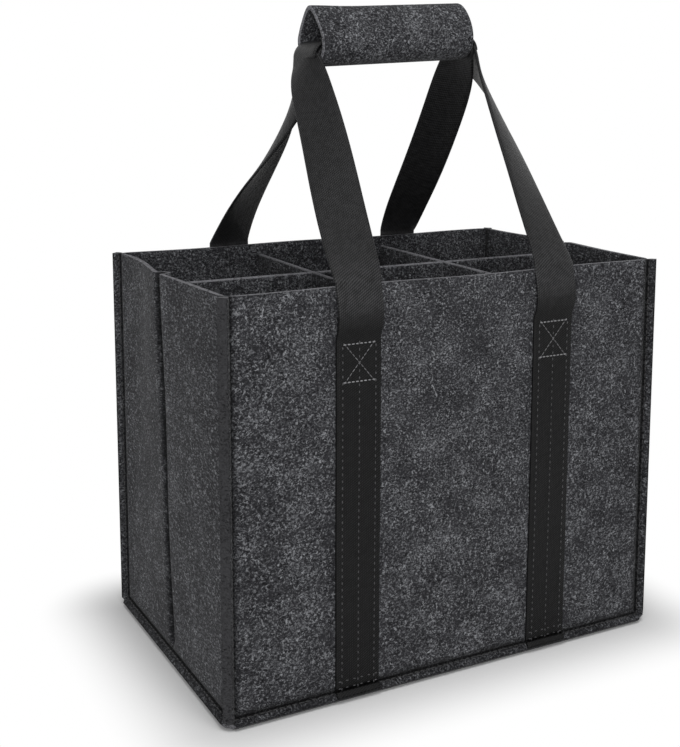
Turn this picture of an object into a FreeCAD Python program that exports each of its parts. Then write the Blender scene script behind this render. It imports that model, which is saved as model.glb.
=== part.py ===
"""Felt carrier with six cells, two webbing handles and a wrapped grip.

Frame: millimetres, +Z up, the front face looks along -Y. The origin is on the floor, under the middle of
the carrier.

Five felt panels are sewn together edge to edge. Each sewn edge is a seam that stands out at 45 degrees: the
two layers are bent outwards and lie face to face. Each end panel has a pleat pinched inwards down its
middle. Three felt dividers slot into each other and stand on the base. Each handle is one length of webbing,
sewn up one face, twisted a quarter turn, bent through the grip and brought down the same face again. The
grip is a felt rectangle that closes under itself with a hook strip and a loop strip.
"""

import FreeCAD, Part
import math
import os

Vector = FreeCAD.Vector

# Felt shell
body_width = 308.0
body_depth = 192.0
rim_height = 255.0
felt = 3.0
seam_length = 6.7
floor_crush = 1.2
cut_margin = 1.0

# Pleat down the middle of each end panel
pleat_depth = 6.0
pleat_shoulder = 4.0
pleat_slot = 0.6

# Slotted dividers, which make two rows of cells
columns = 3
divider_drop = 7.0
divider_clearance = 0.3
slot_clearance = 0.15
slot_share = 0.5

# Webbing handles
webbing_width = 30.0
webbing = 2.0
handle_spacing = 141.0
lean_start = 2.0
rim_hold = 24.0
top_hold = 24.0
front_bulge = 3.0
back_bulge = -2.0
twist_ease = 1.6
leg_steps = 18
bend_steps = 6

# Grip
grip_length = 113.0
grip_height = 38.0
grip_rise = 148.0
grip_shift = 3.5
grip_fullness = 0.2
grip_clearance = 0.75
handle_lead = 3.0
handle_drop = 1.5
bend_radius = 8.0
bend_inset = 0.5
layer_gap = 1.2

# Overlap and closure of the grip, angles in degrees from straight down, forwards first
flap_start_angle = 5.0
flap_overlap_angle = 56.0
tuck_start_angle = 300.0
closure_strip = 0.8
closure_clearance = 0.1
strip_start_angle = 10.0
strip_sweep_angle = 44.0
strip_inset = 6.0
curve_step = 7.0

root2 = math.sqrt(2.0)
inner_width = body_width - 2.0 * felt
inner_depth = body_depth - 2.0 * felt
grip_depth = webbing_width + 2.0 * (felt + grip_clearance)
grip_axis_height = rim_height + grip_rise
floor_to_base = (seam_length + felt) / root2 - floor_crush
seam_bend = felt * (root2 - 1.0)


def frustum(rect, flanged, near, far, near_spread, far_spread):
    """A block between two distances from the inner face. Its flanged sides spread or shrink on the way."""
    x0, x1, z0, z1 = rect
    left, right, low, high = flanged
    return Part.makeWedge(
        x0 - left * near_spread, near, z0 - low * near_spread,
        z0 - low * far_spread, x0 - left * far_spread,
        x1 + right * near_spread, far, z1 + high * near_spread,
        z1 + high * far_spread, x1 + right * far_spread,
    )


def panel(rect, flanged):
    """One felt sheet with its inner face on y = 0 and its seam allowances bent outwards, towards +Y."""
    reach = (seam_length + felt) / root2 + cut_margin
    trim = root2 * seam_length
    solid = frustum(rect, flanged, 0.0, reach, 0.0, reach)
    hollow = frustum(rect, flanged, felt, reach + felt, -seam_bend, reach - seam_bend)
    tips = frustum(rect, flanged, -cut_margin, reach, trim + cut_margin, trim - reach)
    x0, x1, z0, z1 = rect
    above_rim = Part.makeBox(
        x1 - x0 + 4.0 * reach, 3.0 * reach, 2.0 * reach,
        Vector(x0 - 2.0 * reach, -reach, z1),
    )
    sheet = solid.cut(hollow).common(tips)
    if not flanged[3]:
        sheet = sheet.cut(above_rim)
    return sheet


def wall(half_length):
    """An upright sheet with seams down both sides and along the foot."""
    return panel((-half_length, half_length, floor_to_base, rim_height), (1, 1, 1, 0))


def end_wall():
    """An end sheet with its pinched pleat: rounded shoulders outside and a doubled ridge inside."""
    foot = floor_to_base + seam_bend
    mouth = pleat_shoulder + pleat_slot / 2.0
    half_slot = pleat_slot / 2.0
    turn = pleat_shoulder * (1.0 - 1.0 / root2)
    ridge_end = felt - pleat_depth
    ridge_profile = Part.Wire([
        Part.makePolygon([
            Vector(felt, ridge_end, foot), Vector(felt, 0, foot),
            Vector(-felt, 0, foot), Vector(-felt, ridge_end, foot),
        ]),
        Part.Arc(
            Vector(-felt, ridge_end, foot), Vector(0, -pleat_depth, foot), Vector(felt, ridge_end, foot)
        ).toShape(),
    ])
    ridge = Part.Face(ridge_profile).extrude(Vector(0, 0, rim_height - foot))
    shoulder_foot = felt - pleat_shoulder
    outside = felt + cut_margin
    groove_profile = Part.Wire([
        Part.Arc(
            Vector(-mouth, felt, foot),
            Vector(-half_slot - turn, felt - turn, foot),
            Vector(-half_slot, shoulder_foot, foot),
        ).toShape(),
        Part.makePolygon([
            Vector(-half_slot, shoulder_foot, foot), Vector(-half_slot, ridge_end, foot),
            Vector(half_slot, ridge_end, foot), Vector(half_slot, shoulder_foot, foot),
        ]),
        Part.Arc(
            Vector(half_slot, shoulder_foot, foot),
            Vector(half_slot + turn, felt - turn, foot),
            Vector(mouth, felt, foot),
        ).toShape(),
        Part.makePolygon([
            Vector(mouth, felt, foot), Vector(mouth, outside, foot),
            Vector(-mouth, outside, foot), Vector(-mouth, felt, foot),
        ]),
    ])
    groove = Part.Face(groove_profile).extrude(Vector(0, 0, rim_height - foot))
    return wall(inner_depth / 2.0).fuse(ridge).cut(groove).removeSplitter()


def base():
    """The floor sheet. Its four seams point down and out, and the floor presses their lowest edge flat."""
    rect = (-inner_width / 2.0, inner_width / 2.0, -inner_depth / 2.0, inner_depth / 2.0)
    sheet = panel(rect, (1, 1, 1, 1))
    sheet.rotate(Vector(0, 0, 0), Vector(1, 0, 0), -90.0)
    sheet.translate(Vector(0, 0, floor_to_base))
    below = Part.makeBox(
        2.0 * body_width, 2.0 * body_depth, body_depth,
        Vector(-body_width, -body_depth, -body_depth),
    )
    return sheet.cut(below)


def turned(shape, degrees, x, y):
    """A copy of an upright sheet, turned about Z and moved to its side of the carrier."""
    copy = shape.copy()
    copy.rotate(Vector(0, 0, 0), Vector(0, 0, 1), degrees)
    copy.translate(Vector(x, y, 0))
    return copy


def divider_span():
    """Lowest and highest edge of every divider, and the level where two of them interlock."""
    low = floor_to_base
    high = rim_height - divider_drop
    return low, high, low + slot_share * (high - low)


def long_divider(places):
    """The sheet between the two rows, slotted from above where the short ones cross it."""
    low, high, lock = divider_span()
    half = inner_width / 2.0 - pleat_depth - divider_clearance
    sheet = Part.makeBox(2.0 * half, felt, high - low, Vector(-half, -felt / 2.0, low))
    width = felt + 2.0 * slot_clearance
    for place in places:
        slot = Part.makeBox(
            width, 2.0 * felt, high - lock + cut_margin, Vector(place - width / 2.0, -felt, lock)
        )
        sheet = sheet.cut(slot)
    return sheet


def cross_divider(place):
    """A short sheet across both rows, slotted from below to ride over the long one."""
    low, high, lock = divider_span()
    half = inner_depth / 2.0 - divider_clearance
    sheet = Part.makeBox(felt, 2.0 * half, high - low, Vector(place - felt / 2.0, -half, low))
    width = felt + 2.0 * slot_clearance
    slot = Part.makeBox(
        2.0 * felt, width, lock - low + cut_margin, Vector(place - felt, -width / 2.0, low - cut_margin)
    )
    return sheet.cut(slot)


def bezier(points, share):
    """Point and unit direction on a cubic curve."""
    a, b, c, d = points
    rest = 1.0 - share
    place = a * rest**3 + b * (3 * rest**2 * share) + c * (3 * rest * share**2) + d * share**3
    along = (b - a) * (3 * rest**2) + (c - b) * (6 * rest * share) + (d - c) * (3 * share**2)
    return place, along.normalize()


def grip_bend(radius, shift):
    """Sections of a handle from the middle of the grip through the bend at the grip's right end."""
    bend = Vector(
        grip_length / 2.0 - bend_inset + shift, 0, grip_axis_height - handle_drop - bend_radius
    )
    sections = [(Vector(shift, 0, bend.z + radius), Vector(0, 1, 0), Vector(0, 0, 1))]
    for step in range(bend_steps + 1):
        angle = math.radians(90.0 * step / bend_steps)
        out = Vector(math.sin(angle), 0, math.cos(angle))
        sections.append((bend + out * radius, Vector(0, 1, 0), out))
    return sections


def free_leg(top, rim, bulge):
    """Sections of the free stretch, which bows out by a bulge and makes a quarter turn on its way down."""
    curve = (top, top + Vector(bulge, 0, -top_hold), rim + Vector(0, 0, rim_hold), rim)
    sections = []
    for step in range(1, leg_steps + 1):
        share = step / leg_steps
        centre, along = bezier(curve, share)
        twist = math.radians(90.0 * (1.0 - share**twist_ease))
        across = Vector(math.cos(twist), math.sin(twist), 0)
        across = (across - along * across.dot(along)).normalize()
        sections.append((centre, across, along.cross(across)))
    return sections


def sewn_run(foot_x):
    """Sections of the stretch that is sewn to the panel, from the rim to the tip of the bottom seam."""
    right = Vector(1, 0, 0)
    half_fold = math.tan(math.radians(22.5))
    face = Vector(foot_x, -body_depth / 2.0, floor_to_base + seam_bend)
    tip_out = Vector(0, -1, 1) / root2
    tip = face + Vector(0, -1, -1) / root2 * (seam_length - seam_bend) + tip_out * (webbing / 2.0)
    fold = face + Vector(0, -1, half_fold) * (webbing / 2.0)
    rim = Vector(foot_x, face.y - webbing / 2.0, rim_height)
    return [
        (rim, right, Vector(0, -1, 0)),
        (fold, right, Vector(0, -1, half_fold)),
        (tip, right, tip_out),
    ]


def half_handle(radius, shift, bulge):
    """Sections of a front handle from the middle of the grip to its right foot.

    Each is a centre, the direction across the webbing and the direction out of its face. The top of the
    handle lies a shift to the right.
    """
    bend = grip_bend(radius, shift)
    foot_x = handle_spacing / 2.0
    rim = Vector(foot_x, -(body_depth + webbing) / 2.0, rim_height + lean_start)
    return bend + free_leg(bend[-1][0], rim, bulge) + sewn_run(foot_x)


def section_wire(section):
    """The four-cornered outline of the webbing at one section."""
    centre, across, out = section
    side = across * (webbing_width / 2.0)
    face = out * (webbing / 2.0)
    corners = [centre - side - face, centre + side - face, centre + side + face, centre - side + face]
    return Part.makePolygon(corners + corners[:1])


def handle(radius, bulge):
    """A whole front handle in one length of webbing: a right half, and a left one made by mirroring."""
    shift = grip_shift + handle_lead
    right = half_handle(radius, shift, bulge)
    left = []
    for centre, across, out in reversed(half_handle(radius, -shift, bulge)[1:]):
        left.append((
            Vector(-centre.x, centre.y, centre.z),
            Vector(-across.x, across.y, across.z),
            Vector(-out.x, out.y, out.z),
        ))
    return Part.makeLoft([section_wire(s) for s in left + right], True, True)


def layer_step():
    """How far the tucked flap lies inside the outer one, with both closure strips between them."""
    return felt + 2.0 * closure_strip + 3.0 * closure_clearance


def grip_point(angle, depth, x):
    """A point of the grip's section at an angle from straight down, at a depth under its outer face."""
    share = min(max((angle - tuck_start_angle) / (360.0 - tuck_start_angle), 0.0), 1.0)
    inward = depth + layer_step() * share * share * (3.0 - 2.0 * share)
    turn = math.radians(angle)
    fuller = 1.0 + grip_fullness * math.cos(turn)
    return Vector(
        grip_shift + x,
        -(grip_depth / 2.0 - inward) * fuller * math.sin(turn),
        grip_axis_height - (grip_height / 2.0 - inward) * math.cos(turn),
    )


def grip_band(start, sweep, depth, thickness, length):
    """A sheet rolled round the grip's section from one angle on."""
    steps = max(4, round(sweep / curve_step))
    angles = [start + sweep * i / steps for i in range(steps + 1)]
    x = -length / 2.0
    outer = Part.BSplineCurve()
    outer.interpolate([grip_point(a, depth, x) for a in angles])
    inner = Part.BSplineCurve()
    inner.interpolate([grip_point(a, depth + thickness, x) for a in reversed(angles)])
    edges = [
        outer.toShape(),
        Part.LineSegment(outer.EndPoint, inner.StartPoint).toShape(),
        inner.toShape(),
        Part.LineSegment(inner.EndPoint, outer.StartPoint).toShape(),
    ]
    return Part.Face(Part.Wire(edges)).extrude(Vector(length, 0, 0))


def grip_parts():
    """The felt wrap and the two closure strips between its overlapping flaps."""
    sweep = 360.0 + flap_overlap_angle - flap_start_angle
    strip_length = grip_length - 2.0 * strip_inset
    loop_depth = felt + closure_clearance
    hook_depth = loop_depth + closure_strip + closure_clearance
    return {
        "grip_wrap": grip_band(flap_start_angle, sweep, 0.0, felt, grip_length),
        "grip_loop_strip": grip_band(
            strip_start_angle, strip_sweep_angle, loop_depth, closure_strip, strip_length
        ),
        "grip_hook_strip": grip_band(
            strip_start_angle, strip_sweep_angle, hook_depth, closure_strip, strip_length
        ),
    }


def main():
    front_wall = wall(inner_width / 2.0)
    side_wall = end_wall()
    pitch = (inner_width + felt) / columns
    places = [pitch * (i - columns / 2.0) for i in range(1, columns)]
    half_step = (webbing + layer_gap) / 2.0
    parts = {
        "front_panel": turned(front_wall, 180.0, 0, -inner_depth / 2.0),
        "back_panel": turned(front_wall, 0.0, 0, inner_depth / 2.0),
        "left_panel": turned(side_wall, 90.0, -inner_width / 2.0, 0),
        "right_panel": turned(side_wall, -90.0, inner_width / 2.0, 0),
        "base_panel": base(),
        "long_divider": long_divider(places),
        "front_handle": handle(bend_radius + half_step, front_bulge),
        "back_handle": handle(bend_radius - half_step, back_bulge).mirror(Vector(0, 0, 0), Vector(0, 1, 0)),
    }
    for number, place in enumerate(places, 1):
        parts[f"cross_divider_{number}"] = cross_divider(place)
    parts.update(grip_parts())
    os.makedirs("parts", exist_ok=True)
    for name, shape in parts.items():
        print(name, len(shape.Solids), "solid", shape.isValid(), round(shape.Volume, 1), "mm3")
        shape.exportStep(f"parts/{name}.step")


main()
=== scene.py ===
import math
from functools import partial

import bmesh
import bpy
import numpy as np
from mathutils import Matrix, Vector


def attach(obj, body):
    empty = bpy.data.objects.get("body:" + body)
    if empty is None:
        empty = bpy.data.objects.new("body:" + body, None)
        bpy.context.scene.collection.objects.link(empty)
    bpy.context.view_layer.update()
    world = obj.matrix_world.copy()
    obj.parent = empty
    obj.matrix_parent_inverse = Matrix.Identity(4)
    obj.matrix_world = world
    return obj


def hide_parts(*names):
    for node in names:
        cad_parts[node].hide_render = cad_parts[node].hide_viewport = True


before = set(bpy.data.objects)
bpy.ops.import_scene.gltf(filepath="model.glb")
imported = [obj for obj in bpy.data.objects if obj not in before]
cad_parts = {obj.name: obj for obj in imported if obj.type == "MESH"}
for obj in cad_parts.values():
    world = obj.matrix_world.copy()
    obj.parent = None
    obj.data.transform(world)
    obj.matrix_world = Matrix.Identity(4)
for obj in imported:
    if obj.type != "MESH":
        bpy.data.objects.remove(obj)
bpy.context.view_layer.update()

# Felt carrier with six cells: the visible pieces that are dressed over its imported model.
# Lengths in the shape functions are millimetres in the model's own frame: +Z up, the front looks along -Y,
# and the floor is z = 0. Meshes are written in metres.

bl_info = {
    "name": "Felt Carrier",
    "version": (1, 0, 0),
    "blender": (4, 5, 0),
    "location": "View3D > Sidebar > Felt Carrier",
    "description": "Sewn felt carrier with slotted dividers, webbing handles and a wrapped grip",
    "category": "Add Mesh",
}

MM = 0.001
BODY = "root"

# Felt shell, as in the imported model
body_width, body_depth, rim_height = 308.0, 192.0, 255.0
felt = 3.0
seam_length = 6.7
floor_crush = 1.2
half_width = body_width / 2 - felt
half_depth = body_depth / 2 - felt
wall_halves = {"front": half_width, "back": half_width, "left": half_depth, "right": half_depth}
root2 = math.sqrt(2)
floor_to_base = (seam_length + felt) / root2 - floor_crush
pleat_depth, pleat_shoulder, pleat_slot = 6.0, 5.0, 3.2

# Dividers
columns = 3
divider_drop = 7.0
divider_clearance = 0.3
slot_width = felt + divider_clearance
cell_pitch = (2 * half_width + felt) / columns
divider_places = [cell_pitch * (i - columns / 2) for i in range(1, columns)]

# Webbing handles
webbing_width, webbing = 30.0, 2.0
handle_spacing = 141.0
lean_start = 2.0
sewn_top, standing_proud = 225.0, 3.6
rim_hold = 12.0
layer_gap = 1.2
webbing_foot = 4.6

# Grip
grip_length, grip_height = 113.0, 38.0
grip_axis = rim_height + 148.0
grip_shift, grip_fullness, grip_tilt = 3.5, 0.2, 3.0
grip_depth = webbing_width + 2 * (felt + 0.75)
handle_drop = 5.0
bend_radius, bend_inset = 8.0, 4.6
flap_start_angle, flap_overlap_angle, tuck_start_angle = 5.0, 56.0, 300.0
tuck_step = felt + 1.9
strip_start_angle, strip_sweep_angle, strip_inset, strip_thickness, strip_gap = 10.0, 44.0, 6.0, 0.8, 0.1

# Bends of the felt at a sewn edge
bend_middle = 3.0
fold = math.radians(45)
bend_length = bend_middle * fold
bend_start = -(felt / 2 + bend_middle) * math.tan(fold / 2)
seam_end = bend_length + 4.84
seam_pinch = 1.9
corner_trim = 0.85

# Stitches on the webbing: how far they lie off the wall, where the outer and the middle rows start, and the box
stitch_face = body_depth / 2 + webbing + 0.1
row_inset, outer_row_top, middle_row_top = 11.0, 219.0, 226.0
foot_bar, box_top, box_foot, box_half = 12.4, 221.0, 198.5, 9.6

# Flat sizes in metres, unfolded from the model's own lengths: the cloth between the seams, bends and allowances
long_wall_flat, end_wall_flat, floor_flat = (0.315, 0.256), (0.211, 0.256), (0.315, 0.199)
long_divider_flat, cross_divider_flat = (0.289, 0.242), (0.185, 0.242)
wrap_flat, tape_arcs = (0.113, 0.118), {"loop": 13.2, "hook": 12.4}

# Camera in metres, millimetres of lens and radians, fitted to the object's vanishing points
camera_place = (-0.3961, -0.694016, 0.370838)
camera_down, camera_turn = 0.142, 0.484
camera_lens, sensor_width, camera_shift = 57.31, 36.0, -120 / 747


def linear(code):
    """An sRGB hex colour as linear values."""
    values = [int(code[i:i + 2], 16) / 255 for i in (1, 3, 5)]
    return [v / 12.92 if v <= 0.04045 else ((v + 0.055) / 1.055) ** 2.4 for v in values]


def ease(share):
    """0 to 1 with a soft start and end."""
    share = np.clip(share, 0, 1)
    return share * share * (3 - 2 * share)


def length_setting(name, description, default):
    return bpy.props.FloatProperty(name=name, description=description, default=default, unit="LENGTH")


def colour_setting(name, description, code):
    return bpy.props.FloatVectorProperty(
        name=name, description=description, default=linear(code), subtype="COLOR", min=0, max=1)


def lamp_setting(name, description, default):
    return bpy.props.FloatProperty(name=name, description=description, default=default, unit="POWER")


class FeltSettings(bpy.types.PropertyGroup):
    wall_swell: length_setting("Wall Swell", "How far the long walls stand out at mid-rim", 0.0012)
    end_swell: length_setting("End Swell", "How far an end wall stands out at its pleat, at the rim", 0.0045)
    edge_round: length_setting("Edge Rounding", "Rounding of the cut edges", 0.0009)
    fibre_size: length_setting("Fibre Size", "Size of the tangled wisps that the surface shows", 0.00108)
    ground: colour_setting("Ground", "Main colour of the felt", "#303033")
    light_fibre: colour_setting("Light Fibre", "Colour of the pale fibres", "#A0A2A6")
    dark_fibre: colour_setting("Dark Fibre", "Colour of the gaps and black fibres", "#0E0E10")
    # Cut edge colour: partly the cut fibres, and partly a painted highlight along the rims and edges.
    cut_edge_with_highlight: colour_setting("Cut Edge", "Colour of the fibres that the cut edges lay open", "#7A7A7E")


class WebbingSettings(bpy.types.PropertyGroup):
    rib_pitch: length_setting("Rib Pitch", "Distance from one cross rib to the next, as drawn", 0.0016)
    yarn_pitch: length_setting("Yarn Pitch", "Distance from one lengthwise yarn to the next, as drawn", 0.00125)
    colour: colour_setting("Yarn", "Colour of the yarn", "#2C2C2D")


class ThreadSettings(bpy.types.PropertyGroup):
    row_pitch: length_setting("Row Pitch", "Stitch distance in the long rows", 0.0042)
    box_pitch: length_setting("Box Pitch", "Stitch distance in the crossed boxes", 0.0027)
    thickness: length_setting("Thickness", "Thickness of the thread", 0.0007)
    dark: colour_setting("Dark Thread", "Colour of the thread in the felt seams", "#141416")
    pale: colour_setting("Pale Thread", "Colour of the thread in the crossed boxes", "#808082")
    middle: colour_setting("Grey Thread", "Colour of the thread in the long rows of the webbing", "#3C3C3E")


class StageSettings(bpy.types.PropertyGroup):
    floor: colour_setting("Floor", "Colour of the floor", "#FAFAFA")
    key_power: lamp_setting("Key Lamp", "Power of the lamp in front", 21.0)
    top_power: lamp_setting("Top Lamp", "Power of the lamp overhead", 8.5)
    room_light: bpy.props.FloatProperty(
        name="Room Light", description="Strength of the even light from all around", default=0.25)


# Shape of the sewn shell

def settle(points):
    """Moves points of the shell, or of what is sewn to it, as soft felt stands between its seams."""
    options = bpy.context.scene.carrier_felt
    p = np.array(points, float)
    x, y, z = p[..., 0].copy(), p[..., 1].copy(), p[..., 2].copy()
    # The foot stays still, the rim moves most, and what rises above the rim follows it less and less.
    rise = np.clip((z - 12) / (rim_height - 12), 0, 1)
    height = np.sin(rise * math.pi / 2) * ease(1 - (z - rim_height) / 60)
    # The long walls swell between their corners, with a faint ripple.
    across = np.clip(1 - (x / half_width) ** 2, 0, 1)
    ripple = 0.5 * np.sin(x / 31 + 0.8) * np.sin(z / 42 + 0.4) + 0.3 * np.sin(x / 17 + z / 29)
    swell = options.wall_swell / MM * (1 + 0.35 * ripple) * across * height
    p[..., 1] += np.sign(y) * swell * ease((np.abs(y) - 55) / 35)
    # The end walls stand out at their pleat, and their back half falls in again beside it.
    share = np.clip((np.abs(y) - 4) / (half_depth - 4), 0, 1)
    half = np.where(y > 0, (1 - share) - 0.7 * np.sin(math.pi * share ** 1.6), (1 - share) ** 0.9)
    p[..., 0] += (np.sign(x) * options.end_swell / MM * half * height * ease((np.abs(x) - 112) / 36)
                  * (1 + 0.2 * np.sin(y / 19 + z / 33)))
    # The rim's cut edge waves up and down by a third of a millimetre.
    near_rim = ease((z - rim_height + 50) / 50)
    p[..., 2] += near_rim * 0.35 * np.sin(x / 24 + 0.6 * y / 24) * ease(1 - (z - rim_height) / 8)
    return p


def stations(length, pitch=3.2):
    """Places along a sheet from its middle to the tip of its seam allowance, as distances past the bend."""
    flat_end = length + bend_start
    flat = np.linspace(0, flat_end, round(flat_end / pitch) + 1) - flat_end
    bend = bend_length * np.array([0.25, 0.5, 0.75, 1.0])
    tip = np.linspace(bend_length, seam_end, 7)[1:]
    return np.concatenate([flat, bend, tip])


def bent(q, layer):
    """Sideways and outward place of a layer of the felt, q past the start of the bend at a sewn edge."""
    angle = np.clip(q / bend_middle, 0, fold)
    run = np.clip(q - bend_length, 0, None)
    if layer > 0:
        layer = layer - seam_pinch * np.exp(-((q - 0.6 * bend_length) / 1.5) ** 2)
    side = np.where(q < 0, q, bend_middle * np.sin(angle) + run * math.cos(fold)) - layer * np.sin(angle)
    out = bend_middle * (1 - np.cos(angle)) + run * math.sin(fold) + layer * np.cos(angle)
    return bend_start + side, felt / 2 + out


def pleat_profile(layer):
    """Sideways and outward places across the pinched pleat, for one layer of the felt."""
    reach, inner = pleat_shoulder - felt / 2 + layer, (felt + pleat_slot) / 2 - layer
    over, under = np.radians(np.linspace(90, 0, 6)), np.radians(np.linspace(0, 90, 5))
    side = np.concatenate([reach * np.cos(over) - pleat_shoulder - pleat_slot / 2, -inner * np.cos(under)])
    low = (felt + pleat_slot) / 2 + felt / 2 - pleat_depth
    out = np.concatenate([felt - pleat_shoulder + reach * np.sin(over), low - inner * np.sin(under)])
    return np.concatenate([side, -side[-2::-1]]), np.concatenate([out, out[-2::-1]])


def painted_seam_shade(q, layer):
    """Painted shade from 0 to 1: dark in the groove beside a seam, less over the allowance, and darkest along
    the tips of the allowance.
    """
    seam = (1.0 if layer > 0 else 0.5) * np.exp(-((q - 0.6 * bend_length) / 2.2) ** 2)
    return np.maximum(seam, np.where(q > bend_length, np.where(q > seam_end - 0.5, 0.92, 0.4), 0))


def rounded(q_across, q_down):
    """Trims the square corner where two seam allowances of a sheet meet to a round one."""
    across, down = np.broadcast_arrays(q_across[None, :], q_down[:, None])
    a, b = np.clip(across, 0, None), np.clip(down, 0, None)
    shrink = 1 - corner_trim * (1 - np.maximum(a, b) / np.maximum(np.hypot(a, b), 1e-9))
    shrink = np.where((a > 0) & (b > 0), shrink, 1)
    return across * shrink, down * shrink


def wall_layer(half, layer, pleated):
    """One face of an upright sheet, as rows from its foot to its rim: sideways, outward and height.

    The second grid is painted shade: how dark each point is painted in the seam grooves, over the allowances and
    in the pleat's crease.
    """
    q = stations(half)
    if pleated:
        mouth = pleat_shoulder + pleat_slot / 2
        kept = q[q + half + bend_start > mouth + 1.5]
        q = np.concatenate([[mouth - half - bend_start + 0.001], kept])
    side, out = bent(q, layer)
    side = side + half
    middle_side, middle_out = pleat_profile(layer) if pleated else (side[:1], out[:1])
    side = np.concatenate([-side[:0:-1], middle_side, side[1:]])
    out = np.concatenate([out[:0:-1], middle_out, out[1:]])
    q = np.concatenate([q[:0:-1], np.full(len(middle_side), q[0]), q[1:]])
    across, down = rounded(q, stations(rim_height - floor_to_base, 3.44)[::-1])
    outside = np.sign(side) * (bent(across, layer)[0] + half)
    side = np.where(down > 0, np.where(across > 0, outside, side), side)
    height = floor_to_base - bent(down, layer)[0]
    joint_q = np.maximum(across, down)
    joint_out = bent(joint_q, layer)[1]
    pressed = painted_seam_shade(joint_q, layer)
    if pleated:
        fade = ease((height - floor_to_base - 2) / 12)
        level = felt / 2 + layer
        joint_out = joint_out + np.where(q[None, :] <= q.min() + 1e-6, (out - level)[None, :] * fade, 0)
        if layer > 0:
            # Painted shade: the outer face is painted dark in and beside the pleat's crease, fading out towards
            # the foot.
            painted_crease_shade = 1 - ease((np.abs(side) - pleat_slot / 2) / pleat_shoulder)
            pressed = np.maximum(pressed, painted_crease_shade * fade)
    return np.stack([side, joint_out, height], axis=-1), pressed


def turned(grid, facing):
    """Stands a sheet's grid on its side of the carrier."""
    side, out, height = grid[..., 0], grid[..., 1], grid[..., 2]
    placed = {
        "front": (side, -half_depth - out, height), "back": (-side, half_depth + out, height),
        "left": (-half_width - out, -side, height), "right": (half_width + out, side, height),
    }[facing]
    return np.stack(placed, axis=-1)


def base_layer(layer):
    """One face of the floor sheet, and the painted shade of each point, darkest in the seam grooves and along
    the allowance tips.
    """
    halves = [stations(half) for half in (half_width, half_depth)]
    sign_x, sign_y = (np.concatenate([-np.ones(len(q) - 1), np.ones(len(q))]) for q in halves)
    qx, qy = rounded(*(np.concatenate([q[:0:-1], q]) for q in halves))
    x = sign_x[None, :] * (bent(qx, layer)[0] + half_width)
    y = sign_y[:, None] * (bent(qy, layer)[0] + half_depth)
    joint_q = np.maximum(qx, qy)
    height = np.maximum(floor_to_base - bent(joint_q, layer)[1], 0)
    return np.stack([x, y, height], axis=-1), painted_seam_shade(joint_q, layer)


# Meshes

def placed_object(name, data):
    """An object for a mesh, a lamp or a camera, in the scene's collection."""
    obj = bpy.data.objects.new(name, data)
    bpy.context.collection.objects.link(obj)
    return obj


def baked(obj):
    """Turns an object with its modifiers into one plain mesh of its own."""
    graph = bpy.context.evaluated_depsgraph_get()
    graph.update()
    mesh = bpy.data.meshes.new_from_object(obj.evaluated_get(graph))
    name = obj.name
    bpy.data.objects.remove(obj)
    mesh.name = name
    return placed_object(name, mesh)


def cloth_object(name, verts, faces, uv=None, pressed=None, first_edge=None):
    """A smooth object from points in millimetres, with outward faces.

    uv gives a pair for each point, and the painted shade says how far each one is painted darker. The faces from
    first_edge on are cut edges.
    """
    mesh = bpy.data.meshes.new(name)
    mesh.from_pydata((np.asarray(verts) * MM).tolist(), [], faces)
    if uv is not None:
        layer = mesh.uv_layers.new(name="UVMap")
        loops = np.empty(len(mesh.loops), int)
        mesh.loops.foreach_get("vertex_index", loops)
        layer.data.foreach_set("uv", np.asarray(uv)[loops].ravel())
    mesh.validate()
    if pressed is not None:
        layer = mesh.attributes.new("pressed", "FLOAT", "POINT")
        layer.data.foreach_set("value", pressed.astype(np.float32))
    for index, face in enumerate(mesh.polygons):
        face.material_index = int(first_edge is not None and index >= first_edge)
    data = bmesh.new()
    data.from_mesh(mesh)
    bmesh.ops.delete(data, geom=[v for v in data.verts if not v.link_faces], context="VERTS")
    bmesh.ops.recalc_face_normals(data, faces=data.faces)
    data.to_mesh(mesh)
    data.free()
    mesh.shade_smooth()
    return placed_object(name, mesh)


def sheet_object(name, inner, outer, present=None, pressed=None):
    """A closed sheet between two grids of points, with rounded cut edges.

    present says which cells of the grid are kept, and the painted shade how dark each inner and outer point is
    painted.
    """
    rows, cols = inner.shape[:2]
    count = rows * cols
    if present is None:
        present = np.ones((rows - 1, cols - 1), bool)
    verts = np.concatenate([inner.reshape(-1, 3), outer.reshape(-1, 3)])
    faces, edge_faces, kept = [], [], np.pad(present, 1)
    for r, c in np.argwhere(present).tolist():
        a, e = r * cols + c, (r + 1) * cols + c
        b, d = a + 1, e + 1
        faces += [(a, b, d, e), (e + count, d + count, b + count, a + count)]
        for near, far, beside in ((a, b, (r, c + 1)), (b, d, (r + 1, c + 2)), (d, e, (r + 2, c + 1)),
                                  (e, a, (r + 1, c))):
            if not kept[beside]:
                edge_faces.append((near, near + count, far + count, far))
    if pressed is not None:
        pressed = np.concatenate([p.ravel() for p in pressed])
    obj = cloth_object(name, verts, faces + edge_faces, pressed=pressed, first_edge=len(faces))
    for _ in ("face", "cut edge"):
        obj.data.materials.append(None)
    bevel = obj.modifiers.new("Cut Edges", "BEVEL")
    bevel.width = bpy.context.scene.carrier_felt.edge_round
    bevel.segments = 2
    bevel.limit_method = "ANGLE"
    bevel.angle_limit = math.radians(60)
    bevel.material = 1
    return baked(obj)


def dress(obj, materials, slot, *nodes):
    """Gives a finished piece its materials and its place in the frame."""
    slots = obj.data.materials
    for index, material in enumerate(materials):
        if index < len(slots):
            slots[index] = material
        else:
            slots.append(material)
    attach(obj, BODY)
    if nodes:
        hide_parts(*nodes)


# Materials

def new_material(name, finish):
    """A material, node() for its tree, its shader and its coordinates. One that is there already comes alone.

    finish gives the shader's constant inputs.
    """
    material = bpy.data.materials.get(name)
    if material:
        return material, None, None, None
    material = bpy.data.materials.new(name)
    material.use_nodes = True
    add = partial(node, material.node_tree)
    return material, add, add(material.node_tree.nodes["Principled BSDF"], finish), add("TexCoord")


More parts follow.
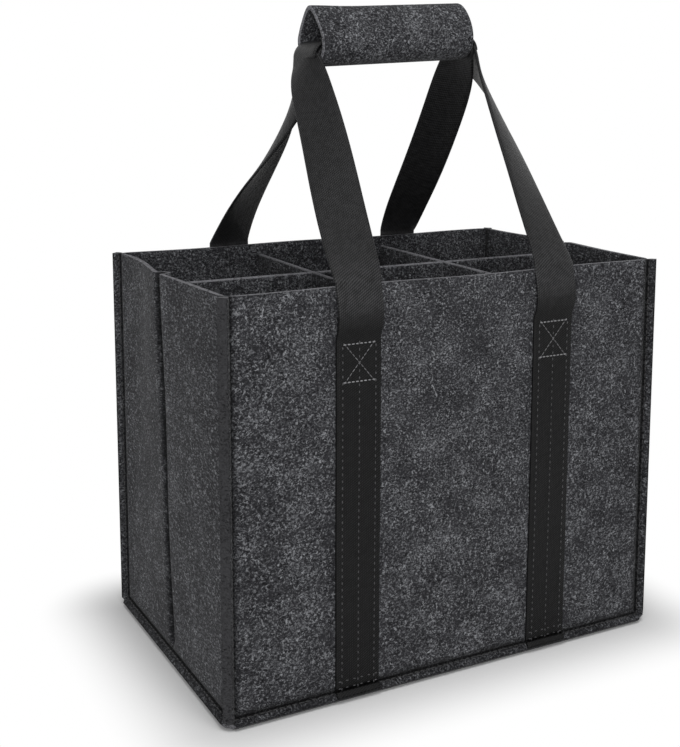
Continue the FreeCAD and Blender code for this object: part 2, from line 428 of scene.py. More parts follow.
def node(tree, new, settings=None, **links):
    """Adds a node with its settings and links.

    new is Blender's name of its kind, where ShaderNode may be left off, or a node that is there already.
    settings are its properties and constant inputs, and "stops" the (place, grey or colour) pairs of a ramp.
    links name an input, or number it as i0, and give the node or the output that feeds it.
    """
    if isinstance(new, str):
        new = tree.nodes.new(new if "Node" in new else f"ShaderNode{new}")
    for key, value in (settings or {}).items():
        if key == "stops":
            elements = new.color_ramp.elements
            while len(elements) < len(value):
                elements.new(0.5)
            for element, (place, tone) in zip(elements, value):
                element.position = place
                element.color = (*np.broadcast_to(tone, 3), 1)
        elif isinstance(key, int) or key in new.inputs:
            new.inputs[key].default_value = value
        else:
            setattr(new, key, value)
    for key, source in links.items():
        key = int(key[1:]) if key[0] == "i" and key[1:].isdigit() else key.replace("_", " ")
        if isinstance(source, bpy.types.Node):
            source = next(output for output in source.outputs if output.enabled)
        tree.links.new(source, new.inputs[key])
    return new


def colour_with_painted_shade(add, shader, colour, stops):
    """Feeds the base colour, multiplied by the stops that turn the painted shade attribute into painted shade.
    """
    pressed = add("Attribute", {"attribute_name": "pressed"})
    shade = add("ValToRGB", {"stops": stops}, Fac=pressed.outputs["Fac"])
    final = add("Mix", {"data_type": "RGBA", "blend_type": "MULTIPLY", 0: 1.0}, i6=colour, i7=shade)
    add(shader, Base_Color=final)


def felt_material(name, ground, light, dark, light_share, relief):
    """Needled polyester felt: a matt tangle of fibres, dyed charcoal and mixed with pale and black ones.

    The eye sees short curled fibres in every direction, soft mottling where they bunch, and a slight nap
    that lights up at the edge of a curve. A real fibre is about 0.02 mm thick, too fine to show, so the
    tangle is drawn as wisps of about a millimetre.
    """
    material, add, shader, where = new_material(name, {
        "Roughness": 0.95, "Specular IOR Level": 0.12, "Sheen Weight": 0.05, "Sheen Roughness": 0.5})
    if add is None:
        return material
    spot = where.outputs["Object"]
    fine = 1 / bpy.context.scene.carrier_felt.fibre_size
    # Tufts: a short-grained noise sets how light each spot is, calmer in patches 7 mm across, and lighter or
    # darker in clouds 24 mm across.
    drawn = add("Mapping", {"Scale": (0.82, 0.5, 1.05)}, Vector=spot)
    tufts = add("TexNoise", {"Scale": fine, "Detail": 1.5, "Roughness": 0.65, "Distortion": 0.7}, Vector=drawn)
    patches = add("TexNoise", {"Scale": fine * 0.16, "Detail": 1.0}, Vector=spot)
    clouds = add("TexNoise", {"Scale": fine * 0.045, "Detail": 2.0}, Vector=spot)
    calm = add("MapRange", {"From Min": 0.35, "From Max": 0.65, "To Min": 0.65, "To Max": 1.15}, Value=patches)
    around = add("Math", {"operation": "SUBTRACT", 1: 0.5}, i0=tufts)
    spread = add("Math", {"operation": "MULTIPLY"}, i0=around, i1=calm)
    cloud = add("MapRange", {"From Min": 0.3, "From Max": 0.7, "To Min": 0.455, "To Max": 0.545}, Value=clouds)
    level = add("Math", {"operation": "ADD"}, i0=spread, i1=cloud)
    between = [g + (h - g) * 0.3 for g, h in zip(ground, light)]
    tones = ((0.28, dark), (0.5, ground), (0.63, between), (0.84, light))
    colour = add("ValToRGB", {"stops": tones}, Fac=level)
    # Single fibres, one dark set and two pale ones: the thin band where a noise crosses its middle value, cut
    # short by a second noise.
    masks = []
    for place, turn, scale, tint, amount in (
            ((0.1, 0.3, 0.2), (0.4, 0.9, 0.2), 0.45, dark, 0.7),
            ((0.4, 0.8, 0.6), (0.7, 1.6, 0.5), 0.36, light, light_share),
            ((0.9, 0.5, 0.1), (1.9, 0.6, 1.3), 0.44, light, light_share * 0.8)):
        placed = add("Mapping", {"Location": place, "Rotation": turn, "Scale": (1, 0.6, 0.8)}, Vector=spot)
        wander = add("TexNoise", {
            "Scale": fine * scale, "Detail": 1.0, "Roughness": 0.6, "Distortion": 0.5}, Vector=placed)
        middle = add("Math", {"operation": "SUBTRACT", 1: 0.5}, i0=wander)
        away = add("Math", {"operation": "ABSOLUTE"}, i0=middle)
        line = add("ValToRGB", {"stops": ((0.012, 1.0), (0.05, 0.0))}, Fac=away)
        pieces = add("TexNoise", {"Scale": fine * 0.55, "Detail": 0.0}, Vector=placed)
        kept = add("ValToRGB", {"stops": ((0.66, 0.0), (0.72, amount))}, Fac=pieces)
        masks.append(add("Math", {"operation": "MULTIPLY"}, i0=line, i1=kept))
        colour = add("Mix", {"data_type": "RGBA", 7: (*tint, 1)}, i0=masks[-1], i6=colour)
    # Painted shade: the seam grooves, their allowances and tips and the pleat's crease are painted dark where
    # they stand in shade.
    colour_with_painted_shade(add, shader, colour, ((0.0, 1.0), (1.0, 0.12)))
    # The first pale set lies on top, so it stands up with the tufts.
    raised = add("Math", {"operation": "MULTIPLY_ADD", 1: 0.25}, i0=masks[1], i2=level)
    bump = add("Bump", {"Strength": relief, "Distance": 1.1 * MM}, Height=raised)
    add(shader, Normal=bump)
    return material


def felt_materials():
    """The face of the felt, flattened as it leaves the needles, and the edge where a knife opened its fibres.

    The cut edge is rougher than the face, and paler: partly the colour of the cut fibres, partly a painted
    highlight along the rims and edges.
    """
    options = bpy.context.scene.carrier_felt
    pale = [c * 1.5 for c in options.cut_edge_with_highlight]
    return [felt_material("Needled Polyester Felt", options.ground, options.light_fibre, options.dark_fibre,
                          0.6, 0.5),
            felt_material("Cut Felt Edge With Painted Highlight", options.cut_edge_with_highlight, pale, options.ground, 0.9, 0.8)]


def webbing_material():
    """Woven polypropylene webbing: low gloss, fine cross ribs over lengthwise yarns, firm selvedges.

    It is painted palest about the rim, as a painted highlight where it bends back, and painted shade darkens the
    rest, most where it is sewn on. Real ribs are about 0.8 mm apart and real yarns 0.6 mm, too fine to show, so
    both are drawn about twice as coarse.
    """
    material, add, shader, where = new_material("Woven Polypropylene Webbing", {
        "Roughness": 0.42, "IOR": 1.49, "Specular IOR Level": 0.12})
    if add is None:
        return material
    options = bpy.context.scene.carrier_webbing
    wear_size, crumple_size = 3.571 * MM, 3.03 * MM
    spot = where.outputs["Object"]
    parts = add("SeparateXYZ", Vector=where.outputs["UV"])
    ribs, yarns = (add("Math", {"operation": "MULTIPLY", 1: 2 * math.pi / pitch}, i0=parts.outputs[axis])
                   for pitch, axis in ((options.rib_pitch, "Y"), (options.yarn_pitch, "X")))
    # Each rib steps half a turn back from yarn to yarn, as the weft goes over one and under the next.
    stagger = add("Math", {"operation": "MULTIPLY", 1: 0.5}, i0=yarns)
    rib_place = add("Math", {"operation": "ADD"}, i0=ribs, i1=stagger)
    rib = add("Math", {"operation": "SINE"}, i0=rib_place)
    yarn = add("Math", {"operation": "SINE"}, i0=yarns)
    yarn_part = add("Math", {"operation": "MULTIPLY", 1: 0.55}, i0=yarn)
    weave = add("Math", {"operation": "ADD"}, i0=rib, i1=yarn_part)
    level = add("MapRange", {"From Min": -1.5, "From Max": 1.5}, Value=weave)
    wear = add("TexNoise", {"Scale": 1 / wear_size, "Detail": 3.0}, Vector=spot)
    lift = add("Math", {"operation": "MULTIPLY_ADD", 1: 0.9, 2: -0.45}, i0=wear)
    total = add("Math", {"operation": "ADD"}, i0=level, i1=lift)
    low, high = ([c * shade for c in options.colour] for shade in (0.3, 2.1))
    woven = add("ValToRGB", {"stops": ((0.1, low), (0.55, options.colour), (0.95, high))}, Fac=total)
    # Painted light: the painted shade leaves the webbing palest about the rim as a painted highlight, halves it
    # on the free legs and darkens it most where it is sewn on.
    colour_with_painted_shade(add, shader, woven, ((0.0, 1.0), (0.3, 0.5), (1.0, 0.19)))
    crumple = add("TexNoise", {"Scale": 1 / crumple_size, "Detail": 2.0}, Vector=spot)
    soft = add("Bump", {"Strength": 0.6, "Distance": 0.8 * MM}, Height=crumple)
    bump = add("Bump", {"Strength": 0.7, "Distance": 0.3 * MM}, Height=level, Normal=soft)
    add(shader, Normal=bump)
    return material


def thread_material(name, colour):
    """Twisted polyester thread: round stitches with a soft gloss and a slight change of shade.

    The twist is finer than the render shows, so it is drawn as shades about a millimetre long.
    """
    material, add, shader, where = new_material(name, {"Roughness": 0.5, "Sheen Weight": 0.1})
    if add is None:
        return material
    shade_size = 1.111 * MM
    twist = add("TexNoise", {"Scale": 1 / shade_size, "Detail": 1.0}, Vector=where.outputs["Object"])
    low, high = ([c * shade for c in colour] for shade in (0.7, 1.3))
    shades = add("ValToRGB", {"stops": ((0.35, low), (0.65, high))}, Fac=twist)
    add(shader, Base_Color=shades)
    return material


def fastener_material():
    """Nylon hook and loop tape: a dense dark pile of tiny loops.

    Real loops are about 0.3 mm across, too fine to show, so they are drawn three times as coarse.
    """
    material, add, shader, where = new_material("Nylon Hook And Loop Tape", {"Roughness": 0.8})
    if add is None:
        return material
    loop_size = 0.909 * MM
    pile = add("TexVoronoi", {"Scale": 1 / loop_size}, Vector=where.outputs["Object"])
    tips = add("ValToRGB", {"stops": ((0.0, linear("#2A2A2B")), (0.8, linear("#0C0C0D")))}, Fac=pile)
    bump = add("Bump", {"Strength": 0.6, "Distance": 0.4 * MM}, Height=pile)
    add(shader, Base_Color=tips, Normal=bump)
    return material


def felt_sheet(name, replaced, faces, present=None, pressed=None, **declared):
    """A felt piece with its cut edges, placed in the frame."""
    sheet = sheet_object(name, *faces, present, pressed)
    dress(sheet, felt_materials(), "felt", replaced)


# Stitches

def stitch_tree():
    """Geometry nodes that lay stitches along paths."""
    tree = bpy.data.node_groups.get("Stitch Rows")
    if tree:
        return tree
    tree = bpy.data.node_groups.new("Stitch Rows", "GeometryNodeTree")
    sockets = tree.interface
    sockets.new_socket("Geometry", in_out="OUTPUT", socket_type="NodeSocketGeometry")
    sockets.new_socket("Geometry", in_out="INPUT", socket_type="NodeSocketGeometry")
    for name in ("Pitch", "Length", "Thickness"):
        sockets.new_socket(name, in_out="INPUT", socket_type="NodeSocketFloat").subtype = "DISTANCE"
    sockets.new_socket("Thread", in_out="INPUT", socket_type="NodeSocketMaterial")
    add = partial(node, tree)
    start = add("NodeGroupInput").outputs
    path = add("GeometryNodeMeshToCurve", Mesh=start["Geometry"])
    points = add("GeometryNodeCurveToPoints", {"mode": "LENGTH"}, Curve=path, Length=start["Pitch"])
    bead = add("GeometryNodeMeshUVSphere", {"Segments": 8, "Rings": 6, "Radius": 0.5})
    # No stitch is quite as long or quite as straight as the next.
    uneven = add("FunctionNodeRandomValue", {"data_type": "FLOAT", 2: 0.86, 3: 1.08, "Seed": 4})
    long = add("Math", {"operation": "MULTIPLY"}, i0=start["Length"], i1=uneven)
    size = add("CombineXYZ", X=start["Thickness"], Y=start["Thickness"], Z=long)
    lean = (0.05, 0.05, 0)
    tilt = add("FunctionNodeRandomValue", {
        "data_type": "FLOAT_VECTOR", 0: [-turn for turn in lean], 1: lean, "Seed": 9})
    laid = add("GeometryNodeInstanceOnPoints", Points=points, Instance=bead,
                Rotation=points.outputs["Rotation"], Scale=size)
    turned_bead = add("GeometryNodeRotateInstances", Instances=laid, Rotation=tilt)
    real = add("GeometryNodeRealizeInstances", Geometry=turned_bead)
    smooth = add("GeometryNodeSetShadeSmooth", Geometry=real)
    thread = add("GeometryNodeSetMaterial", Geometry=smooth, Material=start["Thread"])
    add("NodeGroupOutput", Geometry=thread)
    return tree


def stitch_rows(name, rows, pitch_m, share, thickness_m, material, slot):
    """One piece with a stitch row along every path, a list of points in millimetres.

    share is the part of the pitch that a stitch takes up.
    """
    verts, edges = [], []
    for row in rows:
        first = len(verts)
        verts += [tuple(c * MM for c in p) for p in row]
        edges += [(first + i, first + i + 1) for i in range(len(row) - 1)]
    mesh = bpy.data.meshes.new(name)
    mesh.from_pydata(verts, edges, [])
    obj = placed_object(name, mesh)
    modifier = obj.modifiers.new("Stitches", "NODES")
    modifier.node_group = stitch_tree()
    ids = {item.name: item.identifier for item in modifier.node_group.interface.items_tree
           if item.in_out == "INPUT"}
    modifier[ids["Pitch"]] = pitch_m
    modifier[ids["Length"]] = pitch_m * share
    modifier[ids["Thickness"]] = thickness_m
    modifier[ids["Thread"]] = material
    obj = baked(obj)
    if not obj.data.polygons:
        raise RuntimeError(f"{name} has no stitches")
    dress(obj, [material], slot)


# Handle

def bezier(points, share):
    """Place and direction on a curve through four control points."""
    a, b, c, d = points
    rest = 1 - share
    place = a * rest**3 + b * (3 * rest**2 * share) + c * (3 * rest * share**2) + d * share**3
    along = (b - a) * (3 * rest**2) + (c - b) * (6 * rest * share) + (d - c) * (3 * share**2)
    return place, along.normalized()


# How each free leg runs, for the side of its wall and its end of the grip: the stretch that hangs straight from
# the grip, its swing sideways and its lean towards the wall in millimetres, then how far it is still turned out
# of the plane of its wall, in degrees, from the grip (0) to the rim (1)
legs = {
    ("front", "left"): (18, 2, 4, ((0, 90), (0.05, 84), (0.14, 68), (0.42, 50), (0.7, 28), (1, 0))),
    ("front", "right"): (14, 12, 4, ((0, 90), (0.08, 86), (0.21, 62), (0.45, 38), (0.7, 18), (1, 0))),
    ("back", "left"): (12, 0, 4, ((0, 90), (0.24, 86), (0.38, 62), (0.62, 32), (1, 0))),
    ("back", "right"): (20, -1, 4, ((0, 90), (0.08, 82), (0.235, 60), (0.5, 48), (0.75, 24), (1, 0))),
}


def turn_at(points, share):
    """Interpolates between the turning points, with their corners rounded off."""
    reach = min(0.07, share, 1 - share)
    places = np.linspace(share - reach, share + reach, 7)
    return math.radians(float(np.interp(places, *zip(*points)).mean()))


def half_handle(radius, shift, leg):
    """Sections of a front handle from the middle of the grip to its right foot: centre, across, outward."""
    hold, swing, lean, points = leg
    bend = Vector((grip_length / 2 - bend_inset + shift, 0, grip_axis - handle_drop - bend_radius))
    sections = [(Vector((shift + (bend.x - shift) * i / 10, 0, bend.z + radius)), Vector((0, 1, 0)),
                 Vector((0, 0, 1))) for i in range(10)]
    for step in range(13):
        angle = math.radians(90 * step / 12)
        out = Vector((math.sin(angle), 0, math.cos(angle)))
        sections.append((bend + out * radius, Vector((0, 1, 0)), out))
    top = sections[-1][0]
    rim = Vector((handle_spacing / 2, -(body_depth + webbing) / 2, rim_height + lean_start))
    curve = (top, top + Vector((swing, -lean, -hold)), rim + Vector((0, 0.4, 1)) * rim_hold, rim)
    for step in range(1, 61):
        centre, along = bezier(curve, step / 60)
        twist = turn_at(points, step / 60)
        across = Vector((math.cos(twist), math.sin(twist), 0))
        across = (across - along * across.dot(along)).normalized()
        sections.append((centre, across, along.cross(across)))
    return sections + sewn_run(handle_spacing / 2)


def sewn_run(foot_x):
    """Sections of the stretch that is sewn on: down the wall, round the bend and out along the seam."""
    right = Vector((1, 0, 0))
    wall_y = -body_depth / 2 - webbing / 2
    radius = bend_middle - felt / 2 - webbing / 2
    corner_z = floor_to_base - bend_start
    loose_height = rim_height - sewn_top
    sections = []
    for step in range(90):
        z = rim_height + (corner_z - rim_height) * step / 90
        loose = max((z - sewn_top) / loose_height, 0)
        wave = math.pi * loose**0.8
        proud = standing_proud * math.sin(wave)
        slope = standing_proud * math.pi * math.cos(wave) / loose_height if loose else 0
        sections.append((Vector((foot_x, wall_y - proud, z)), right, Vector((0, -1, slope)).normalized()))
    centre = Vector((foot_x, wall_y - radius, corner_z))
    for step in range(5):
        angle = fold * step / 4
        out = Vector((0, -math.cos(angle), math.sin(angle)))
        sections.append((centre - out * radius, right, out))
    last = sections[-1][0]
    along = Vector((0, -1, -1)) / root2
    return sections + [(last + along * (webbing_foot * step / 3), right, out) for step in (1, 2, 3)]


def whole_handle(side, radius):
    """Sections of a handle from its left foot to its right one."""
    mirror = Vector((-1, 1, 1))
    left = half_handle(radius, -grip_shift, legs[side, "left"])[1:]
    return ([tuple(part * mirror for part in section) for section in reversed(left)]
            + half_handle(radius, grip_shift, legs[side, "right"]))


def webbing_outline():
    """Rounded section of the webbing: places across it and out of its face, with its selvedges."""
    radius = webbing / 2
    flat = webbing_width / 2 - radius
    points = []
    for side in (1, -1):
        points += [(side * flat * (1 - i / 4), side * radius) for i in range(1, 8)]
        for i in range(5):
            angle = math.radians(90 * side + 45 * i)
            points.append((-side * flat + radius * math.cos(angle), radius * math.sin(angle)))
    return points


def cupping(side, number, count):
    """How deep the section is bent across its width: free legs curl a little where they turn."""
    middle = (count - 1) / 2
    share = (abs(number - middle) - 22) / 60
    depth = 1.4 if side == "front" else (4.5 if number < middle else 2.0)
    return depth * math.exp(-((share - 0.4) / 0.2) ** 2)


def handle_object(side, radius):
    """One length of webbing with its place across and along kept as a UV map in metres, and its length."""
    sections = whole_handle(side, radius)
    outline = webbing_outline()
    verts, uv, run, last = [], [], 0.0, None
    for number, (centre, across, out) in enumerate(sections):
        cup = cupping(side, number, len(sections))
        ring = [centre + across * a + out * (o - cup * (a / (webbing_width / 2)) ** 2) for a, o in outline]
        points = tilted(settle([tuple(p) for p in ring + [centre]]))
        middle = Vector(points[-1])
        run += (middle - last).length if last else 0.0
        last = middle
        verts += [tuple(p) for p in points[:-1]]
        uv += [(a * MM, run * MM) for a, _ in outline]
    verts = np.array(verts)
    # Painted light: the webbing is left palest about the rim, a painted highlight where it bends back, and
    # painted shade darkens the rest, most where it is stitched on.
    height = verts[:, 2]
    painted_rim_highlight = np.exp(-((height - rim_height + 4) / 17) ** 2)
    pressed = np.maximum(1 - ease((height - sewn_top) / 19), 0.3 * (1 - painted_rim_highlight))
    if side == "back":
        verts[:, 1] *= -1
    count, last_row = len(outline), len(sections) - 1
    faces = []
    for r in range(last_row):
        for i in range(count):
            j = (i + 1) % count
            faces.append((r * count + i, r * count + j, (r + 1) * count + j, (r + 1) * count + i))
    faces += [tuple(range(count)), tuple(reversed(range(last_row * count, (last_row + 1) * count)))]
    return cloth_object(f"{side}_webbing", verts, faces, uv, pressed), run


# Grip

def tilted(points):
    """Lifts the right end of the grip a little, and what hangs from it less and less down to the rim."""
    p = np.array(points, float)
    follows = ease((p[..., 2] - rim_height - 20) / 105)
    rise = follows * math.tan(math.radians(grip_tilt))
    p[..., 2] += rise * np.clip(p[..., 0] - grip_shift, -62, 62)
    p[..., 0] -= rise * (p[..., 2] - grip_axis)
    return p


def grip_point(angle, depth, x):
    """A point on the wrap, so many degrees round it from below, so deep under its outer face."""
    share = min(max((angle - tuck_start_angle) / (360 - tuck_start_angle), 0), 1)
    inward = depth + tuck_step * share * share * (3 - 2 * share)
    turn = math.radians(angle)
    fuller = 1 + grip_fullness * math.cos(turn)
    # The left end is drawn up to a slight peak.
    peak = float(ease(-x / (grip_length / 2))) * max(-math.cos(turn), 0)
    return (grip_shift + x, -(grip_depth / 2 - inward) * fuller * math.sin(turn) * (1 - 0.28 * peak),
            grip_axis - (grip_height / 2 - inward) * math.cos(turn) + 1.2 * peak**3)


def grip_layer(depth, start, sweep, length, rounds, steps):
    """One face of a sheet that lies round the grip, from its first angle, its sweep and its length."""
    angles = np.linspace(start, start + sweep, rounds)
    along = np.linspace(-length / 2, length / 2, steps)
    return tilted([[grip_point(a, depth, x) for x in along] for a in angles])


# Operators

class CARRIER_OT_stage(bpy.types.Operator):
    """Floor, lamps, surroundings and the camera"""
    bl_idname = "carrier.stage"
    bl_label = "Stage"

    def execute(self, context):
        options = context.scene.carrier_stage
        mesh = bpy.data.meshes.new("studio_floor")
        size = 6.0
        mesh.from_pydata([(-size, -size, 0), (size, -size, 0), (size, size, 0), (-size, size, 0)], [],
                         [(0, 1, 2, 3)])
        placed_object("studio_floor", mesh)
        mesh.materials.append(self.floor_material(options.floor))
        self.surroundings(context, options.room_light)
        for name, place, target, size, power in (
                ("key_lamp", (-1.08, -1.9, 0.5), (0, 0, 0.16), 1.05, options.key_power),
                ("top_lamp", (-0.15, -0.65, 1.5), (0, 0, 0.2), 0.7, options.top_power)):
            lamp = bpy.data.lights.new(name, "AREA")
            lamp.size = size
            lamp.energy = power
            obj = placed_object(name, lamp)
            obj.location = place
            obj.rotation_euler = (Vector(target) - Vector(place)).to_track_quat("-Z", "Y").to_euler()
        lens = bpy.data.cameras.new("photo_camera")
        lens.sensor_width = sensor_width
        lens.lens = camera_lens
        lens.shift_y = camera_shift
        camera = placed_object("photo_camera", lens)
        camera.location = camera_place
        camera.rotation_euler = (math.pi / 2 - camera_down, 0, -camera_turn)
        context.scene.camera = camera
        context.scene.view_settings.view_transform = "Standard"
        return {"FINISHED"}

    def floor_material(self, colour):
        """White studio paper: matt, and plain white away from the object, so that only its shadow shows."""
        finish = {"Base Color": (*colour, 1), "Roughness": 0.9, "Specular IOR Level": 0.0}
        material, add, shader, where = new_material("White Studio Floor", finish)
        spread = add("VectorMath", {"operation": "ABSOLUTE"}, i0=where.outputs["Object"])
        past = add("VectorMath", {"operation": "SUBTRACT", 1: (0.15, 0.09, 0)}, i0=spread)
        outside = add("VectorMath", {"operation": "MAXIMUM", 1: (0, 0, 0)}, i0=past)
        reach = add("VectorMath", {"operation": "LENGTH"}, i0=outside)
        far = add("MapRange", {"interpolation_type": "SMOOTHSTEP", "From Max": 0.07}, Value=reach)
        ray = add("LightPath").outputs
        seen = add("Math", {"operation": "MAXIMUM"}, i0=ray["Is Camera Ray"], i1=ray["Is Glossy Ray"])
        shown = add("Math", {"operation": "MULTIPLY"}, i0=seen, i1=far)
        white = add("Emission", {"Color": (1, 1, 1, 1), "Strength": 1.0})
        mixed = add("MixShader", Fac=shown, i1=shader, i2=white)
        add(material.node_tree.nodes["Material Output"], Surface=mixed)
        return material

    def surroundings(self, context, strength):
        """A white backdrop that lights the object only softly."""
        world = bpy.data.worlds.new("Studio Surroundings")
        context.scene.world = world
        world.use_nodes = True
        world.node_tree.nodes.clear()
        add = partial(node, world.node_tree)
        ray = add("LightPath").outputs
        seen = add("Math", {"operation": "MAXIMUM"}, i0=ray["Is Camera Ray"], i1=ray["Is Glossy Ray"])
        seen = add("Math", {"operation": "MAXIMUM"}, i0=seen, i1=ray["Is Transmission Ray"])
        soft = add("Background", {"Color": (1, 1, 1, 1), "Strength": strength})
        white = add("Background", {"Color": (1, 1, 1, 1), "Strength": 1.0})
        mixed = add("MixShader", Fac=seen, i1=soft, i2=white)
        add("OutputWorld", Surface=mixed)


class CARRIER_OT_walls(bpy.types.Operator):
    """The four upright felt sheets with their bent seam allowances, and the pleats of the end ones"""
    bl_idname = "carrier.walls"
    bl_label = "Walls"

    def execute(self, context):
        for facing, half in wall_halves.items():
            pleated = facing in ("left", "right")
            grids, pressed = zip(*(wall_layer(half, layer, pleated) for layer in (-felt / 2, felt / 2)))
            felt_sheet(f"{facing}_wall", f"{facing}_panel", [settle(turned(grid, facing)) for grid in grids],
                       pressed=pressed, flat=end_wall_flat if pleated else long_wall_flat, held="stretched",
                       rests_on=("floor_sheet",))
        return {"FINISHED"}


class CARRIER_OT_base(bpy.types.Operator):
    """The felt floor sheet, whose seams carry the weight"""
    bl_idname = "carrier.base"
    bl_label = "Base"

    def execute(self, context):
        faces, pressed = zip(base_layer(-felt / 2), base_layer(felt / 2))
        felt_sheet("floor_sheet", "base_panel", faces, pressed=pressed, flat=floor_flat, held="stretched")
        return {"FINISHED"}


class CARRIER_OT_dividers(bpy.types.Operator):
    """Slotted felt sheets that make the cells"""
    bl_idname = "carrier.dividers"
    bl_label = "Dividers"

    def execute(self, context):
        low, high = floor_to_base, rim_height - divider_drop
        lock, half_slot = (low + high) / 2, slot_width / 2
        heights = np.concatenate([np.linspace(low, lock, 24), np.linspace(lock, high, 24)[1:]])
        half = half_width - pleat_depth - divider_clearance
        slots = sorted([p - half_slot for p in divider_places] + [p + half_slot for p in divider_places])
        long_cells = self.cells([-half, *slots, half], heights, lambda u, h: not (
            h > lock and any(abs(u - p) < half_slot for p in divider_places)))
        self.build("long_felt_divider", "long_divider", long_cells, None, long_divider_flat)
        half = half_depth - divider_clearance
        cross_cells = self.cells([-half, -half_slot, half_slot, half], heights,
                                 lambda u, h: not (h < lock and abs(u) < half_slot))
        for number, place in enumerate(divider_places, 1):
            self.build(f"cross_felt_divider_{number}", f"cross_divider_{number}", cross_cells, place,
                       cross_divider_flat)
        return {"FINISHED"}

    def cells(self, edges, heights, kept):
        """Places across and up a divider, about 4 mm apart, and which of the cells between them are kept."""
        parts = [np.linspace(a, b, max(2, round((b - a) / 4)))[:-1] for a, b in zip(edges, edges[1:])]
        across = np.concatenate(parts + [edges[-1:]])
        middle_u, middle_h = (across[1:] + across[:-1]) / 2, (heights[1:] + heights[:-1]) / 2
        present = np.array([[kept(a, b) for a in middle_u] for b in middle_h])
        return (*np.meshgrid(across, heights), present)

    def build(self, name, replaced, cells, place, flat):
        """One sheet: the long one in the middle plane, and a cross one at its place, slanting a little."""
        u, h, present = cells
        slant = 0.03 * np.where(np.abs(u) > 4, (np.abs(u) - 4) * np.sign(u), 0) * ease((h - 60) / 150)
        faces = [np.stack([u, layer + 0 * u, h] if place is None else [place + layer + slant, u, h], axis=-1)
                 for layer in (-felt / 2, felt / 2)]
        felt_sheet(name, replaced, faces, present, flat=flat, held="stretched", rests_on=("floor_sheet",))


class CARRIER_OT_handles(bpy.types.Operator):
    """The webbing handles, each in one length"""
    bl_idname = "carrier.handles"
    bl_label = "Handles"

    def execute(self, context):
        half_step = (webbing + layer_gap) / 2
        for side, radius in (("front", bend_radius + half_step), ("back", bend_radius - half_step)):
            handle, run = handle_object(side, radius)
            dress(handle, [webbing_material()], "webbing", f"{side}_handle")
        return {"FINISHED"}


class CARRIER_OT_grip(bpy.types.Operator):
    """The felt wrap round both handles and the closure strips between its flaps"""
    bl_idname = "carrier.grip"
    bl_label = "Grip"

    def execute(self, context):
        sweep = 360 + flap_overlap_angle - flap_start_angle
        faces = [grip_layer(depth, flap_start_angle, sweep, grip_length, 138, 39) for depth in (felt, 0.0)]
        felt_sheet("grip_felt_wrap", "grip_wrap", faces, flat=wrap_flat, held="folded",
                   rests_on=("front_webbing", "back_webbing"))
        length = grip_length - 2 * strip_inset
        outer = felt + strip_gap
        for kind, arc in tape_arcs.items():
            strip = sheet_object(f"grip_{kind}_tape", *(
                grip_layer(depth, strip_start_angle, strip_sweep_angle, length, 23, 34)
                for depth in (outer + strip_thickness, outer)))
            dress(strip, [fastener_material()] * 2, "fastener_tape", f"grip_{kind}_strip")
            outer += strip_thickness + strip_gap
        return {"FINISHED"}


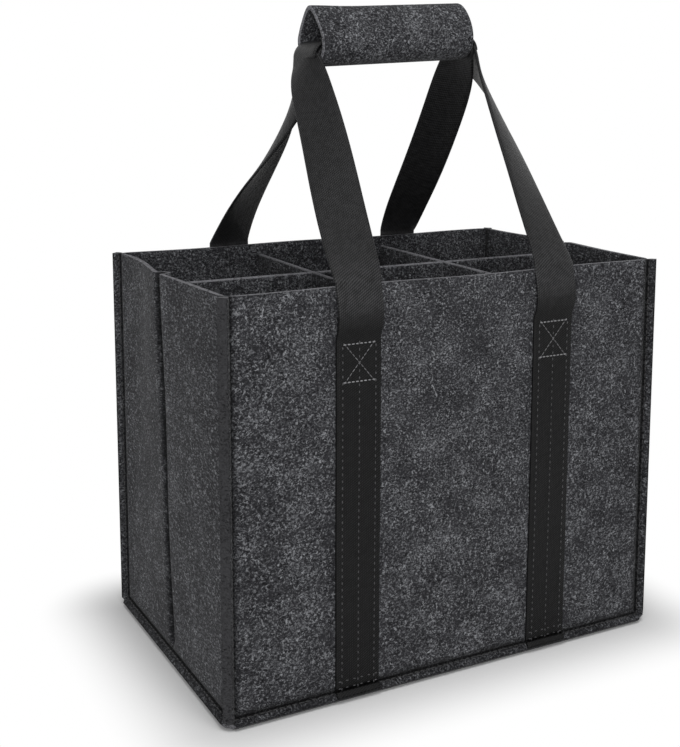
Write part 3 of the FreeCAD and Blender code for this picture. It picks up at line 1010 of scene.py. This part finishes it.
class CARRIER_OT_stitching(bpy.types.Operator):
    """Stitch rows of the seams, the pleats and the sewn webbing"""
    bl_idname = "carrier.stitching"
    bl_label = "Stitching"

    def execute(self, context):
        options = context.scene.carrier_thread
        dark = thread_material("Dark Polyester Thread", options.dark)
        middle = thread_material("Grey Polyester Thread", options.middle)
        pale = thread_material("Pale Polyester Thread", options.pale)
        soft = thread_material("Light Grey Polyester Thread", [c * 0.55 for c in options.pale])
        thick = options.thickness
        bars, diagonals = self.box_rows()
        for piece in (
                ("webbing_stitching", self.webbing_rows(), options.row_pitch, 0.42, thick, middle, "webbing"),
                ("box_stitching", bars, options.box_pitch, 0.8, thick * 1.25, pale, "webbing"),
                ("crossed_stitching", diagonals, options.box_pitch, 0.98, thick * 0.8, soft, "webbing"),
                ("seam_stitching", self.seam_rows(), options.row_pitch, 0.8, thick * 1.3, dark, "felt"),
                ("pleat_stitching", self.pleat_rows(), options.row_pitch, 0.8, thick, dark, "felt")):
            stitch_rows(*piece)
        return {"FINISHED"}

    def on_webbing(self, rows):
        """Rows on all four sewn feet, each from its two ends, across and up, and a number of points."""
        placed = []
        for side in (1, -1):
            for foot_x in (-handle_spacing / 2, handle_spacing / 2):
                for (a, top), (b, low), count in rows:
                    shares = np.linspace(0, 1, count)
                    line = settle([(foot_x + a + (b - a) * s, -stitch_face, top + (low - top) * s)
                                   for s in shares])
                    line[:, 1] *= side
                    placed.append(line.tolist())
        return placed

    def webbing_rows(self):
        """Three rows up each foot of the webbing, and two short ones across it at the seam."""
        low = floor_to_base - bend_start + 1
        upright = [((across, top), (across, low), 50) for across, top in (
            (-row_inset, outer_row_top), (0, middle_row_top), (row_inset, outer_row_top))]
        level = [((-foot_bar, z), (foot_bar, z), 9) for z in (low + 0.6, low + 5.0)]
        return self.on_webbing(upright + level)

    def box_rows(self):
        """The bars at the top and foot of each box, and its crossed diagonals."""
        bars = [((-box_half, z), (box_half, z), 12) for z in (box_top, box_foot)]
        diagonals = [((side * box_half, box_top), (-side * box_half, box_foot), 12) for side in (-1, 1)]
        return self.on_webbing(bars), self.on_webbing(diagonals)

    def seam_rows(self):
        """Rows along the seam allowances, just past the bend."""
        rows = []
        side_in, out = (float(v) for v in bent(np.array(bend_length + 0.4), felt / 2 + 0.1))
        low = floor_to_base - side_in
        for facing, half in wall_halves.items():
            edge = half + side_in
            for start, end in (((-edge, rim_height - 3), (-edge, low + 1)),
                               ((edge, rim_height - 3), (edge, low + 1)), ((1 - edge, low), (edge - 1, low))):
                grid = np.insert(np.linspace(start, end, 60), 1, out, axis=1)
                rows.append(settle(turned(grid, facing)).tolist())
        return rows

    def pleat_rows(self):
        """Rows down both sides of the pinched ridge."""
        rows = []
        for facing in ("left", "right"):
            for sign in (-1, 1):
                grid = np.array([[sign * (felt + pleat_slot / 2 + 0.05), -pleat_depth / 2 + 0.6, z]
                                 for z in np.linspace(rim_height - 2, floor_to_base + 20, 60)])
                rows.append(settle(turned(grid, facing)).tolist())
        return rows


class CARRIER_PT_panel(bpy.types.Panel):
    bl_label = "Felt Carrier"
    bl_idname = "CARRIER_PT_panel"
    bl_space_type = "VIEW_3D"
    bl_region_type = "UI"
    bl_category = "Felt Carrier"

    def draw(self, context):
        for title, group, operators in (
                ("Felt", "carrier_felt", (CARRIER_OT_walls, CARRIER_OT_base, CARRIER_OT_dividers,
                                          CARRIER_OT_grip)),
                ("Webbing", "carrier_webbing", (CARRIER_OT_handles,)),
                ("Thread", "carrier_thread", (CARRIER_OT_stitching,)),
                ("Stage", "carrier_stage", (CARRIER_OT_stage,))):
            box = self.layout.box()
            box.label(text=title)
            settings = getattr(context.scene, group)
            for name in settings.__annotations__:
                box.prop(settings, name)
            for operator in operators:
                box.operator(operator.bl_idname)


settings_groups = {
    "carrier_felt": FeltSettings, "carrier_webbing": WebbingSettings,
    "carrier_thread": ThreadSettings, "carrier_stage": StageSettings,
}
classes = (
    *settings_groups.values(), CARRIER_OT_stage, CARRIER_OT_walls, CARRIER_OT_base,
    CARRIER_OT_dividers, CARRIER_OT_handles, CARRIER_OT_grip, CARRIER_OT_stitching, CARRIER_PT_panel,
)


def register():
    for cls in classes:
        bpy.utils.register_class(cls)
    for name, group in settings_groups.items():
        setattr(bpy.types.Scene, name, bpy.props.PointerProperty(type=group))


def unregister():
    for name in settings_groups:
        delattr(bpy.types.Scene, name)
    for cls in reversed(classes):
        bpy.utils.unregister_class(cls)


def main():
    register()
    bpy.ops.carrier.stage()
    bpy.ops.carrier.base()
    bpy.ops.carrier.walls()
    bpy.ops.carrier.dividers()
    bpy.ops.carrier.handles()
    bpy.ops.carrier.grip()
    bpy.ops.carrier.stitching()


if __name__ == "__main__":
    main()
